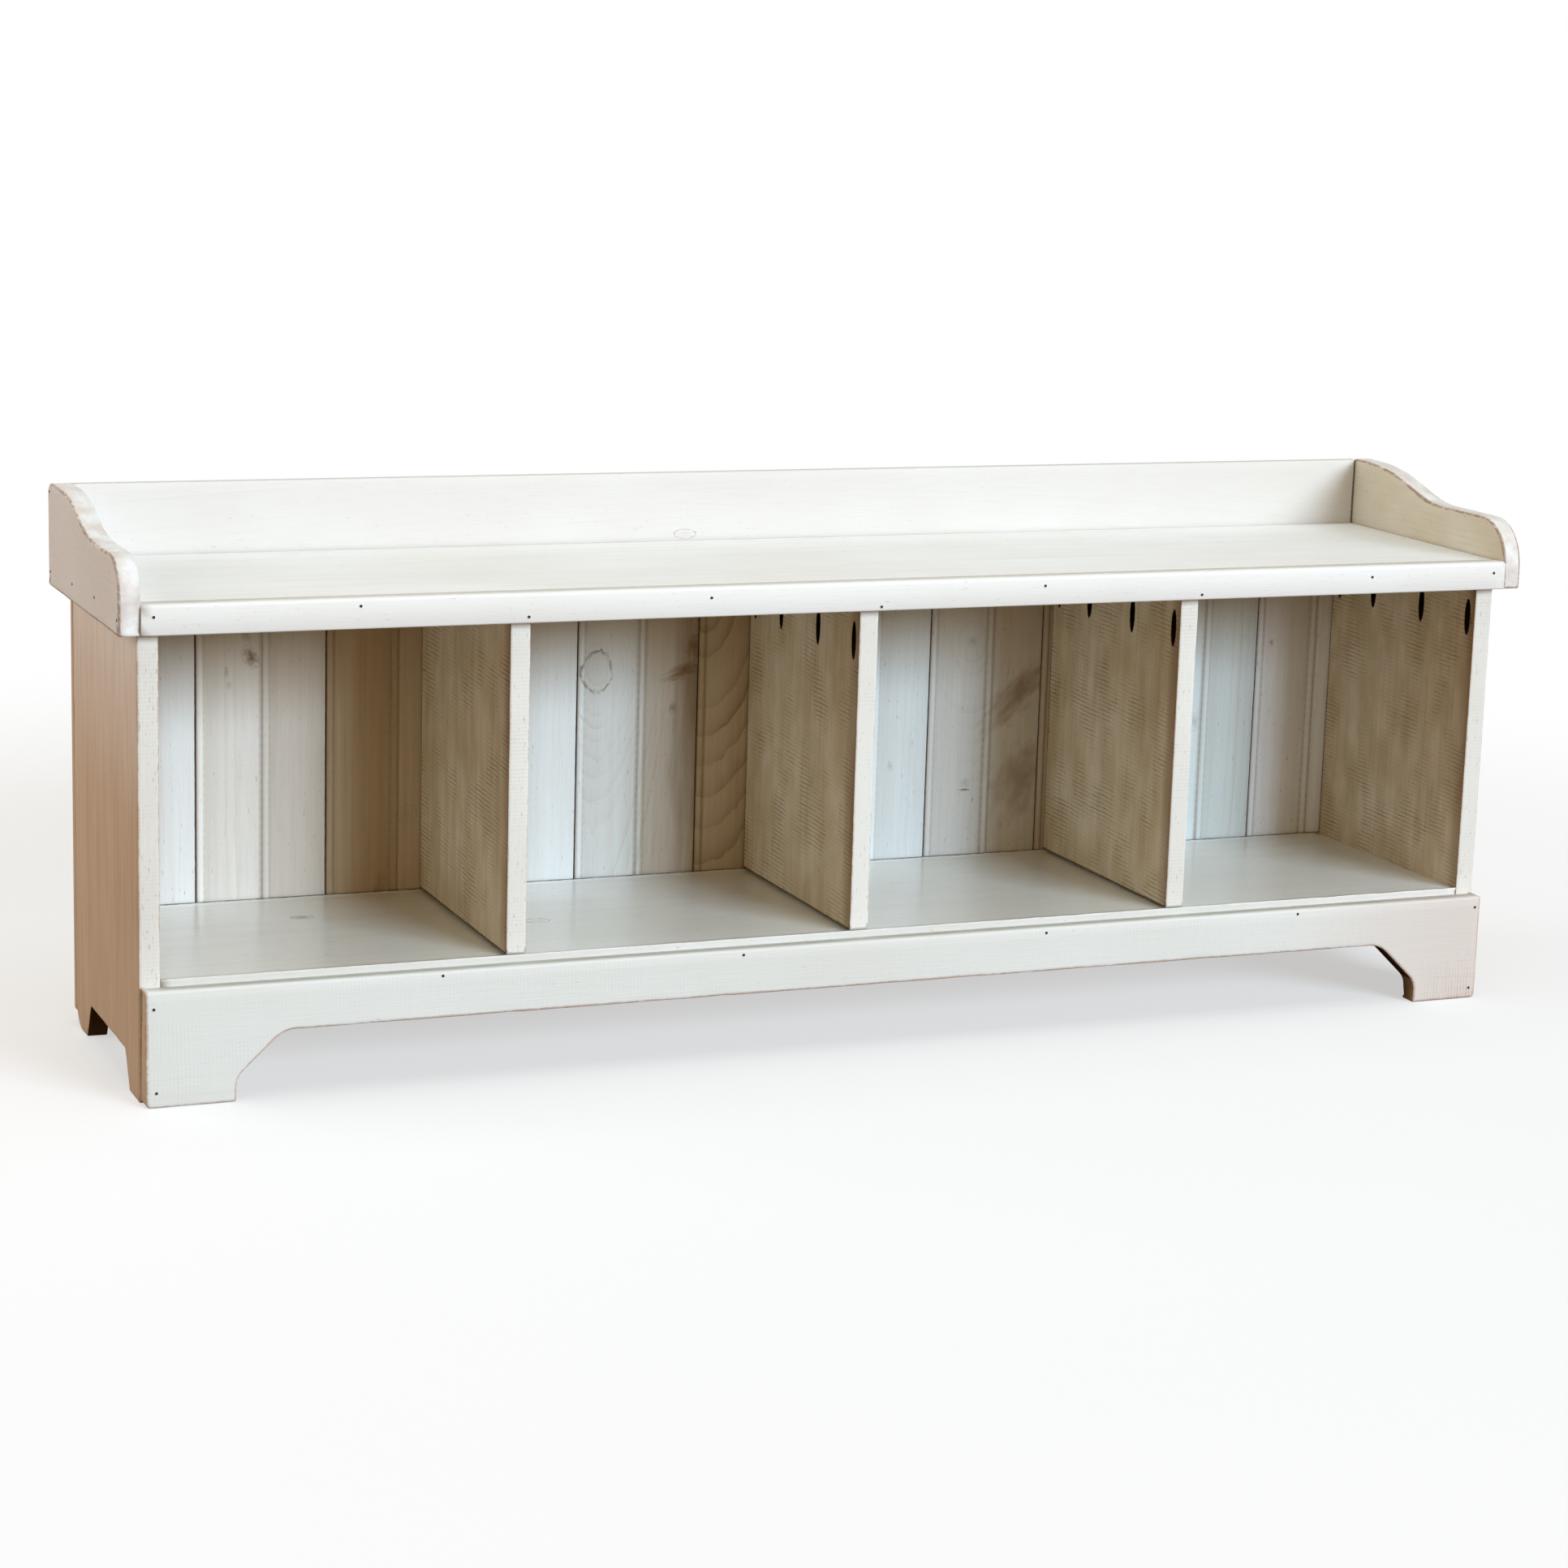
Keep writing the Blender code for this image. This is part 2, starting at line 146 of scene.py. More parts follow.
# Milk paint brushed thinly on rough-sawn pine: chalky, matt and slightly patchy, with saw ribs and fibres
# that stand through it, warm wood on the edges that hands and feet have rubbed, and grime in the seams.
def milkPaint(name, **changes):
    look = dict(paintedBoard, **changes)
    material, (add, calc, ramp, blend) = emptyMaterial(name)
    grain = add("Attribute", attribute_name="grain").outputs["Vector"]  # across, into and along the board
    axes = add("SeparateXYZ", {0: grain}).outputs
    across, along = axes["X"], axes["Z"]
    wear = add("SeparateXYZ", {0: add("Attribute", attribute_name="wear").outputs["Vector"]})
    edge, seam, rub = wear.outputs
    stainShade = add("SeparateXYZ", {0: add("Attribute", attribute_name="stainShade").outputs["Vector"]})
    tone, hollow = stainShade.outputs[:2]

    def speckle(wide, long, detail=2.0, bend=0.0):
        sized = add("VectorMath", {0: grain, 1: (1 / (wide * mm), 1 / (wide * mm), 1 / (long * mm))},
                    operation='MULTIPLY')
        made = add("TexNoise", {"Vector": sized, "Scale": 1.0, "Detail": detail, "Distortion": bend})
        return made.outputs["Fac"]

    sway = speckle(*patterns["sway"])
    chip = speckle(*patterns["chip"])
    speck = speckle(*patterns["speck"])
    stretch = speckle(*patterns["stretch"])
    waver = speckle(*patterns["waver"])
    band = speckle(*patterns["band"])
    sawStroke = speckle(*patterns["sawStroke"])
    sawGate = speckle(*look["sawPatch"])
    drift = speckle(look["driftSize"], look["driftSize"] * look["driftLong"])
    fibre = speckle(look["fibreWidth"], look["fibreLength"], look["fineDetail"])
    streak = speckle(look["streakWidth"], look["streakLength"], look["fineDetail"])

    # Growth rings round the board's heart, drawn out more and more along it, each ring of its own strength
    far = calc('ABSOLUTE', along)
    slower = calc('MULTIPLY_ADD', far, 1 / (look["ringFade"] * mm), 1.0)
    far = calc('DIVIDE', far, slower)
    far = calc('MULTIPLY', far, look["ringStretch"])
    ringOval = add("CombineXYZ", {0: across, 1: far})
    ringReach = add("VectorMath", {0: ringOval}, operation='LENGTH').outputs["Value"]
    ringSway = calc('MULTIPLY', sway, look["ringSway"] / look["ringWidth"])
    ringSway = calc('MULTIPLY_ADD', waver, look["ringWaver"], ringSway)
    ringCount = calc('MULTIPLY_ADD', ringReach, 1 / (look["ringWidth"] * mm), ringSway)
    late = calc('POWER', calc('FRACT', ringCount), look["lateSharp"])
    ringIndex = calc('FLOOR', ringCount)
    ringWeight = add("TexWhiteNoise", {"W": ringIndex}, noise_dimensions='1D').outputs["Value"]
    late = calc('MULTIPLY', late, ringWeight)
    late = calc('MULTIPLY', late, ramp(band, *look["ringGate"]))

    # Saw ribs across the grain, in arcs of the saw's radius
    bow = calc('MULTIPLY', across, across)
    bow = calc('MULTIPLY_ADD', bow, 0.5 / (look["sawRadius"] * mm), along)
    sawSway = calc('MULTIPLY', sway, look["sawSway"])
    turn = calc('MULTIPLY_ADD', bow, 2 * math.pi / (look["sawPitch"] * mm), sawSway)
    saw = ramp(calc('SINE', turn), *shows["rib"])
    saw = calc('MULTIPLY', saw, ramp(sawGate, *look["sawGate"], low=look["sawBase"], way='SMOOTHSTEP'))
    saw = calc('MULTIPLY', saw, ramp(sawStroke, *shows["sawStroke"], low=look["strokeLeast"]))

    # The paint: two tones, streaks along the board, saw ribs and tinted places, which on the planks' shaded
    # halves are painted shade mixed with the wood's stains
    paint = blend(ramp(drift, *shows["drift"]), look["paint"], look["paintDrift"])
    place = add("TexCoord").outputs["Object"]
    # A third tone graded in along one axis: on the planks, painted shade towards the top under the seat; on
    # the apron, darker and warmer towards its right end
    if look["ageing"]:
        graded, axis, start, full = look["ageing"]
        where = add("SeparateXYZ", {0: place}).outputs[axis]
        paint = blend(ramp(where, start, full, way='SMOOTHSTEP'), paint, graded)
    paint = blend(ramp(streak, *shows["streak"], high=look["streakShow"]), paint, look["streak"])
    stainAndShade = calc('MULTIPLY_ADD', streak, *look["tintStreaks"])
    stainAndShade = calc('MULTIPLY', stainAndShade, tone)
    stainAndShade = calc('MULTIPLY', stainAndShade, look["tintShow"], use_clamp=True)
    paint = blend(stainAndShade, paint, look["tint"])
    paint = blend(calc('MULTIPLY', saw, look["sawShow"]), paint, look["saw"])

    # Where wood shows: thin paint, fibres, rings, rubbed spots and worn edges
    worn = calc('ADD', edge, chip)
    worn = calc('ADD', worn, stretch)
    worn = ramp(worn, look["edgeStart"], look["edgeStart"] + look["edgeSoft"], high=look["edgeShow"],
                way='SMOOTHSTEP')
    rubbed = calc('MULTIPLY_ADD', fibre, look["rubFibre"], rub)
    rubbed = calc('MULTIPLY_ADD', calc('MULTIPLY', saw, rub), look["rubRib"], rubbed)
    rubbed = ramp(rubbed, *shows["rubbed"], way='SMOOTHSTEP')
    fibreDip = ramp(fibre, *shows["fibre"], high=look["fibreShow"])
    bare = calc('MULTIPLY_ADD', late, look["ringShow"], look["thin"])
    bare = calc('ADD', bare, fibreDip)
    bare = calc('ADD', bare, rubbed)
    bare = calc('ADD', bare, worn, use_clamp=True)
    woodTone = calc('MULTIPLY_ADD', late, look["lateTone"], fibreDip, use_clamp=True)
    wood = blend(woodTone, look["wood"], look["woodLate"])
    colour = blend(bare, paint, wood)
    dot = ramp(speck, look["speckStart"], look["speckStart"] + look["speckSoft"], high=look["speckShow"])
    colour = blend(dot, colour, look["speck"])

    # Knots and stains: a thin, broken outline round a browner core that is drawn out in strokes
    for centre, radii, lean, ringTone, coreTone in look["knots"]:
        near = add("VectorMath", {0: place, 1: centre}, operation='SUBTRACT')
        near = add("VectorRotate", {"Vector": near, "Angle": -math.radians(lean)}, rotation_type='Y_AXIS')
        near = add("VectorMath", {0: near, 1: [1 / (r * mm) for r in radii]}, operation='MULTIPLY')
        strokes = add("TexNoise", {"Vector": near, "Scale": knotLook["strokeScale"],
                                   "Detail": knotLook["strokeDetail"]}).outputs["Fac"]
        reach = add("VectorMath", {0: near}, operation='LENGTH').outputs["Value"]
        if ringTone:
            ragged = calc('MULTIPLY_ADD', waver, knotLook["waver"], reach)
            ragged = calc('MULTIPLY_ADD', chip, knotLook["chip"], ragged)
            away = calc('ABSOLUTE', calc('SUBTRACT', ragged, knotLook["place"]))
            ring = ramp(away, 0.0, knotLook["half"], ringTone, 0.0)
            ring = calc('MULTIPLY', ring, ramp(strokes, *knotLook["gap"], low=knotLook["gapLeast"]))
            colour = blend(ring, colour, knotLook["outline"])
        core = calc('MULTIPLY_ADD', strokes, knotLook["drawnOut"], reach)
        core = ramp(core, *knotLook["coreEdge"], coreTone, 0.0)
        colour = blend(core, colour, knotLook["core"])

    if look["grooved"]:  # brown glaze left in the hollows beside the beads, in uneven ticks
        tick = calc('MULTIPLY_ADD', along, 2 * math.pi / (glaze["pitch"] * mm), chip)
        tick = calc('MULTIPLY', calc('SINE', tick), band)
        tick = ramp(tick, *glaze["tick"], *glaze["show"])
        colour = blend(calc('MULTIPLY', hollow, tick), colour, glaze["colour"])

    grime = calc('MULTIPLY_ADD', chip, look["dirtBreaks"][0], seam)
    grime = calc('MULTIPLY_ADD', stretch, look["dirtBreaks"][1], grime)
    grime = ramp(grime, *shows["grime"], high=look["dirtShow"], way='SMOOTHSTEP')
    colour = blend(grime, colour, look["dirt"])

    height = calc('MULTIPLY_ADD', bare, -look["bareDepth"], fibre)
    height = calc('MULTIPLY_ADD', saw, -look["sawShow"], height)
    height = calc('MULTIPLY_ADD', dot, -look["speckDepth"], height)
    relief = add("Bump", {"Strength": look["relief"], "Distance": look["reliefDepth"] * mm,
                          "Height": height})
    rough = ramp(bare, 0.0, 1.0, look["roughness"], look["roughness"] + look["bareRougher"])
    shader = add("BsdfPrincipled", {"Base Color": colour, "Roughness": rough, "Normal": relief,
                                    "IOR": look["ior"], "Specular IOR Level": look["shine"],
                                    "Coat Weight": look["coat"], "Coat Roughness": look["coatRoughness"]})
    add("OutputMaterial", {"Surface": shader})
    return material


# Which way each kind of board lies: its across, into and along directions
lie = {"plank": (0, 1, 2), "upright": (1, 0, 2), "level": (1, 2, 0), "rail": (2, 1, 0),
       "galleryEnd": (2, 0, 1)}
wearing = {  # millimetres, unless a note says otherwise
    "ease": 1.1,  # width of the rubbed edges
    "ring": 2.2,  # how far in from them wear and grime run out
    "ringWeld": 0.7,  # corners of that ring closer than this are joined
    "smallest": 12.0,  # square millimetres of the smallest face that gets a ring, so round corners have none
    "station": 11.0,  # spacing of the cuts that let an edge waver
    "nibble": 0.6,  # most that an edge is rubbed back
    "nibbleSize": 26.0, "nibbleFine": 6.0, "nibbleFineShare": 0.5,
    "sharp": 40,  # degrees between faces whose edge is eased
    "buttSlack": 0.1,  # past an eased edge, where it still counts as butted
    "closedSlack": 0.05,
}
merging = {"weld": 0.01, "cut": 0.001, "flat": 1, "shade": 50}  # millimetres, then degrees
marked = 0.99  # a mark at least this strong is a whole one
facing = 0.9  # cosine of the widest turn at which a face still counts as facing a way
lookFacing = 0.6  # the same, for the choice of its look
grainStep = 0.61  # metres between two boards in the grain's own space, so no two are alike
pocketHole = {"foot": 0.372, "inside": 0.4}  # lowest reach in metres, and millimetres inside the board
archCut = {"top": 0.1, "behind": 4}  # metres up, and millimetres behind the front edge
cornerArc = 0.5  # millimetres, longer than the steps of the apron's small round corners
left, right, front, back, up, down = (-1, 0, 0), (1, 0, 0), (0, -1, 0), (0, 1, 0), (0, 0, 1), (0, 0, -1)
boardCount = 0


def weld(shape):
    bmesh.ops.remove_doubles(shape, verts=shape.verts, dist=merging["weld"] * mm)


# A merged copy of a packed board, its loose triangles joined into flat faces
def openBoard(node):
    shape = bmesh.new()
    shape.from_mesh(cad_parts[node].data)
    weld(shape)
    bmesh.ops.dissolve_limit(shape, angle_limit=math.radians(merging["flat"]), verts=shape.verts,
                             edges=shape.edges)
    return shape


# Gives each vertex its place in the grain of the board
def markGrain(shape, kind, low, heart):
    global boardCount
    boardCount += 1
    across, into, along = lie[kind]
    layer = shape.verts.layers.float_vector.new("grain")
    for vert in shape.verts:
        spot = vert.co
        depth = spot[into] - low[into] + grainStep * boardCount
        vert[layer] = (spot[across] - heart[0], depth, spot[along] - heart[1])


def addPiece(shape, name, faceLook):
    materials = []
    for face in shape.faces:
        look = faceLook(face)
        if look not in materials:
            materials.append(look)
        face.material_index = materials.index(look)
        face.smooth = True
    mesh = bpy.data.meshes.new(name)
    shape.to_mesh(mesh)
    shape.free()
    for material in materials:
        mesh.materials.append(material)
    mesh.set_sharp_from_angle(angle=math.radians(merging["shade"]))
    piece = bpy.data.objects.new(name, mesh)
    scene.collection.objects.link(piece)
    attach(piece, "root")
    return piece


# Squares the small round corners of the apron's feet, which are eased again with the rest
def squareCorners(shape):
    corners = {}
    for short in [e for e in shape.edges if e.calc_length() < cornerArc * mm]:
        for vert in short.verts:
            corners.setdefault((round(vert.co.y / mm), vert.co.x > 0), set()).add(vert)
    for corner in corners.values():
        side = max(corner, key=lambda v: v.co.z).co.x
        foot = min(v.co.z for v in corner)
        for vert in corner:
            vert.co.x = side
            vert.co.z = foot
    weld(shape)
    shape.normal_update()


# Cuts a board across at even stations each way, so that its edges can waver
def cutStations(shape, low, high):
    for axis in range(3):
        span = high[axis] - low[axis]
        count = int(span / (wearing["station"] * mm))
        normal = [float(i == axis) for i in range(3)]
        for k in range(1, count):
            spot = [0.0, 0.0, 0.0]
            spot[axis] = low[axis] + span * k / count
            bmesh.ops.bisect_plane(shape, geom=shape.verts[:] + shape.edges[:] + shape.faces[:],
                                   dist=merging["cut"] * mm, plane_co=spot, plane_no=normal)


# Rubs back the worn edges by uneven amounts
def nibbleEdges(shape, wearLayer):
    for vert in shape.verts:
        if vert[wearLayer].x > marked:
            waver = noise.noise(vert.co / (wearing["nibbleSize"] * mm))
            waver += wearing["nibbleFineShare"] * noise.noise(vert.co / (wearing["nibbleFine"] * mm))
            vert.co -= vert.normal * max(0.0, waver) * wearing["nibble"] * mm


# A board with eased, wavering edges. Looks are (way its faces turn, material), and the first that fits a
# face is used. Spots are (centre, reach in millimetres, strength) of places that are rubbed more. Edges of
# the faces that turn a tight way are butted against another board, and hold grime; those that turn a closed
# way are filled with paint. Tint gives how brown a place is.
def dressBoard(node, kind, looks, heart=(0, 0), spots=(), tight=(), closed=(), tint=None,
               ease=wearing["ease"]):
    low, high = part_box(node)
    shape = openBoard(node)

    def isPocket(face):
        spot = face.calc_center_median()
        skin = pocketHole["inside"] * mm
        inside = all(low[i] + skin < spot[i] < high[i] - skin for i in range(3))
        return kind == "upright" and inside and spot.z > pocketHole["foot"]

    def planes(ways):
        return [(i, high[i] if way[i] > 0 else low[i]) for way in ways for i in range(3) if way[i]]

    def liesOn(vert, sides, slack):
        return any(abs(vert.co[i] - plane) < slack for i, plane in sides)

    if node == "base_apron":
        squareCorners(shape)
    pockets = {f for f in shape.faces if isPocket(f)}
    filled = {f for f in shape.faces if any(f.normal.dot(Vector(way)) > facing for way in closed)}
    sharp = [e for e in shape.edges
             if len(e.link_faces) == 2 and e.calc_face_angle() > math.radians(wearing["sharp"])
             and not (pockets | filled).intersection(e.link_faces)]
    made = bmesh.ops.bevel(shape, geom=sharp, offset=ease * mm, offset_type='OFFSET', segments=2,
                           profile=0.5, affect='EDGES', material=-1)
    eased = set(made["faces"])
    flats = [f for f in shape.faces
             if f not in eased | pockets and f.calc_area() > wearing["smallest"] * mm * mm]
    bmesh.ops.inset_region(shape, faces=flats, thickness=wearing["ring"] * mm, use_even_offset=True,
                           use_boundary=True)

    wearLayer = shape.verts.layers.float_vector.new("wear")
    rims = {v for f in eased for v in f.verts}
    mouths = {v for f in pockets for v in f.verts}
    for vert in rims | mouths:
        vert[wearLayer] = (0, 1, -1) if vert in mouths else (1, 0, 0)
    inner = [v for v in shape.verts if v not in rims | mouths]
    bmesh.ops.remove_doubles(shape, verts=inner, dist=wearing["ringWeld"] * mm)
    cutStations(shape, low, high)

    markGrain(shape, kind, low, heart)
    stainShadeLayer = shape.verts.layers.float_vector.new("stainShade")
    shape.normal_update()
    butts, shut = planes(tight), planes(closed)
    for vert in shape.verts:
        edge, seam, rub = vert[wearLayer]
        if edge > marked and liesOn(vert, butts, (ease + wearing["buttSlack"]) * mm):
            edge, seam = 0, 1
        if liesOn(vert, shut, wearing["closedSlack"] * mm):
            edge = 0
        for centre, spread, strength in spots:
            away = (vert.co - Vector(centre)).length / (spread * mm)
            rub = max(rub, strength * max(0.0, 1 - away * away))
        vert[wearLayer] = (edge, seam, rub)
        if tint:
            vert[stainShadeLayer] = (tint(vert.co), 0, 0)
    nibbleEdges(shape, wearLayer)

    def faceLook(face):
        if all(v[wearLayer].z < -marked for v in face.verts):
            return shadedBoredWood  # only pocket holes are marked below nothing
        spot = face.calc_center_median()
        # Cut faces in the feet's arches take the dark bare pine, painted shade under the bench
        inArch = spot.z < archCut["top"] and spot.y > low.y + archCut["behind"] * mm
        if kind == "upright" and abs(face.normal.x) < lookFacing and inArch:
            return shadedBareWood
        return next(m for way, m in looks if way is None or face.normal.dot(Vector(way)) > lookFacing)

    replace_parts(addPiece(shape, node + "_worn", faceLook), node)


# Sawn pine that was never painted, in the arches: dry and brown, darker on its end grain, and made dark
# enough to stand for the shade under the bench: painted shade
shadedBareWood = milkPaint(
    "bare_sawn_pine_painted_shade", paint="#5C4431", paintDrift="#4B3626", wood="#4E3826", woodLate="#33241A",
    saw="#4A3324", sawShow=0.3, fibreShow=0.3, edgeShow=0.2, roughness=0.8, shine=0.1)
# The planks' unseen backs: sawn pine, left bare and gone tan, with the saw's ribs across it
rearPine = milkPaint(
    "bare_pine_plank_backs", paint="#C4A681", paintDrift="#B6966F", wood="#A5835E", woodLate="#7E5D40",
    ringShow=0.3, ringWidth=12, ringSway=16, fibreShow=0.3, sawShow=0.25, saw="#9A7A55", sawRadius=2500,
    streakShow=0.4, streak="#AD8A66", dirtShow=0.0, tintShow=0.0, roughness=0.75)
# Pine torn by the drill in the pocket holes: nearly black, painted shade for the dark inside of the holes
# over the torn wood's brown
shadedBoredWood = milkPaint(
    "bored_pine_pockets_painted_shade", paint="#21160F", paintDrift="#180F0A", wood="#2E1F14", woodLate="#150D08",
    sawShow=0.0, fibreShow=0.4, dirt="#140C07", roughness=0.9, shine=0.0)
# Milk paint rubbed flat by people and things: the warmest white, with long faint fibres and a soft sheen
seatPaint = milkPaint(
    "milk_paint_seat_pine", paint="#EDEDEA", paintDrift="#E6E4DE", sawShow=0.03, fibreShow=0.08,
    streakShow=0.25, streak="#D6CFC0", edgeShow=0.35, dirtShow=0.45, dirt="#6E5A44", roughness=0.5,
    relief=0.2)
# The same in the cubbies, waxed by what slides over it: the planks behind are mirrored in it softly
floorPaint = milkPaint(
    "milk_paint_cubby_floor", paint="#F8FCF9", paintDrift="#F3F7F0", sawShow=0.03, fibreShow=0.07,
    streakShow=0.10, streak="#CFC6B2", streakWidth=18, streakLength=420, edgeShow=0.3, roughness=0.4,
    coat=1.0, relief=0.12, knots=(((-0.4976, 0.0621, 0.114), (11, 7, 60), 0, 1.0, 0.8),
                                  ((-0.2826, -0.0108, 0.114), (12, 8, 60), 0, 1.0, 0.15)))
floorEdgePaint = milkPaint(
    "milk_paint_floor_edge", paint="#E4E4DE", paintDrift="#DEDCD4", sawShow=0.03, edgeShow=0.15)
# Milk paint on sawn rails: a cool chalky white, ribbed by the saw
nosingPaint = milkPaint(
    "milk_paint_seat_nosing", paint="#E6E5DF", paintDrift="#E2DFD8", sawShow=0.03, sawRadius=4000,
    edgeShow=0.45, edgeStart=1.45, wood="#BE9F8D", woodLate="#9A7B68", speckShow=0.3)
# Its graded tone turns the paint darker and warmer towards the right end
apronPaint = milkPaint(
    "milk_paint_apron", paint="#DDDFD8", paintDrift="#D9D9D1", sawShow=0.13, sawBase=0.5, saw="#B3AEA6",
    sawRadius=6000, sawPatch=(40, 90), sawGate=(0.46, 0.66), wood="#BF9480", edgeShow=0.6, edgeStart=1.65,
    ageing=("#D6CCC2", "X", 0.40, 0.68), speckShow=0.4)
galleryPaint = milkPaint(
    "milk_paint_gallery_back", paint="#D4D1CC", paintDrift="#CFCBC4", sawShow=0.04, sawRadius=3000,
    fibreShow=0.05, fibreLength=30, edgeShow=0.6, wood="#A88A70", speckShow=0.25,
    knots=(((-0.0793, 0.1448, 0.4646), (12, 60, 5), 0, 0.5, 0.1),))
# Milk paint on the gallery's ends: cooler outside and creamier inside, gone to brown wood along every edge
handledEdges = dict(edgeShow=0.75, edgeStart=1.7, wood="#96765E", woodLate="#6E543F")
galleryEndPaint = milkPaint(
    "milk_paint_gallery_ends", paint="#E3E4E7", paintDrift="#DDDCDC", sawShow=0.10, sawRadius=3000,
    saw="#B49C88", fibreShow=0.07, **handledEdges)
galleryInnerPaint = milkPaint(
    "milk_paint_gallery_inner", paint="#DDD9CB", paintDrift="#D3CCB8", driftSize=60, sawShow=0.12,
    saw="#A98E6C", fibreShow=0.12, **handledEdges)
# The same where hands and sleeves rub it, along the scalloped tops: blotched, with the wood warm under it
galleryTopPaint = milkPaint(
    "milk_paint_gallery_tops", paint="#E6E5E1", paintDrift="#D6CCC3", driftSize=17, sawShow=0.05,
    fibreShow=0.12, thin=0.04, streakShow=0.2, streak="#BCA796", **handledEdges)
# Milk paint on the uprights' sawn front edges: a creamy white, specked where it didn't fill the grain
edgePaint = milkPaint(
    "milk_paint_upright_edges", paint="#E2E0D7", paintDrift="#DAD6CC", sawShow=0.24, sawRadius=4000,
    saw="#B7ADA2", sawGate=(0.30, 0.65), speckShow=0.6, speckStart=0.65, speck="#857B6F", edgeShow=0.5,
    tintShow=0.0, dirtShow=0.4)
# A thin wash over tan pine: most of the colour is the wood's own, streaked along its fibres
endWash = milkPaint(
    "thin_wash_end_pine", paint="#D0BEA9", paintDrift="#C5AF97", wood="#AC8361", woodLate="#8A5C42",
    fibreShow=0.38, ringShow=0.2, sawShow=0.10, saw="#A98468", thin=0.04, fibreLength=90, fibreWidth=1.6,
    streakShow=0.35, streak="#B58A72", tint="#EAE7E4")
# A white wash on the uprights' inner faces: blotched, with the saw's ribs rubbed brown through it
washedPine = dict(
    driftSize=38, wood="#9C7E5A", woodLate="#6E5236", ringWidth=5, ringShow=0.3, fibreShow=0.2,
    fibreLength=70, sawShow=0.65, saw="#7A5A33", sawRadius=9000, sawPitch=4.4, sawPatch=(44, 60),
    sawGate=(0.44, 0.64), sawBase=0.15, thin=0.0, streakShow=0.25, streak="#A78B62", streakWidth=14,
    streakLength=120, speckShow=0.7, tint="#8F6640", tintShow=0.75)
dividerWash = milkPaint("thin_wash_divider_pine", paint="#F5EEDA", paintDrift="#E1D7BA", **washedPine)
rightWash = milkPaint("thin_wash_right_panel_pine", paint="#E9DDC7", paintDrift="#D3C4A5", **washedPine)
# The same wash, made much browner and darker on the faces turned to the window, so that the light they throw
# back into the shaded cubbies is dim and warm: painted shade
shadedSideWash = milkPaint("thin_wash_pine_painted_shade_side", paint="#B8935F", paintDrift="#AB8653", **dict(
    washedPine, fibreShow=0.25, sawShow=0.4, saw="#86683F", sawPitch=4.2, streakShow=0.3, speckShow=0.5))
browning = {"front": -0.1365, "frontFade": 0.022, "seatFrom": 0.26, "seatRise": 0.15}  # metres


def nearFront(spot):
    return max(0.0, 1 - (spot.y - browning["front"]) / browning["frontFade"])


def nearSeat(spot):
    return max(0.0, (spot.z - browning["seatFrom"]) / browning["seatRise"])


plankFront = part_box("back_plank_02")[0].y
plankEdges = {"tongue": 5.0, "joint": 0.2, "ease": 1.5, "grimed": 0.9, "beadDepth": 2.2, "middle": 69.7,
              "pitch": 130.2, "knotDepth": 60}  # millimetres, and the grimed share of the eased edge
# Thin paint on beaded pine: the wood's rings and knots stain it, more so on the planks cut near the heart
# Its graded tone browns each plank towards the top: painted shade under the seat
plankPaint = dict(
    wood="#A98A66", woodLate="#7E5F42", ringWidth=9, ringShow=0.12, ringSway=14, fibreShow=0.10,
    sawShow=0.0, streakShow=0.12, streak="#BDB096", streakWidth=6, tint="#B39A74", tintShow=0.9,
    roughness=0.6, grooved=True, ageing=("#B49A72", "Z", 0.29, 0.46))
# The same painted shade under the seat, reaching lower on the two planks at the left end
leftTopShade = ("#A8946E", "Z", 0.27, 0.48)
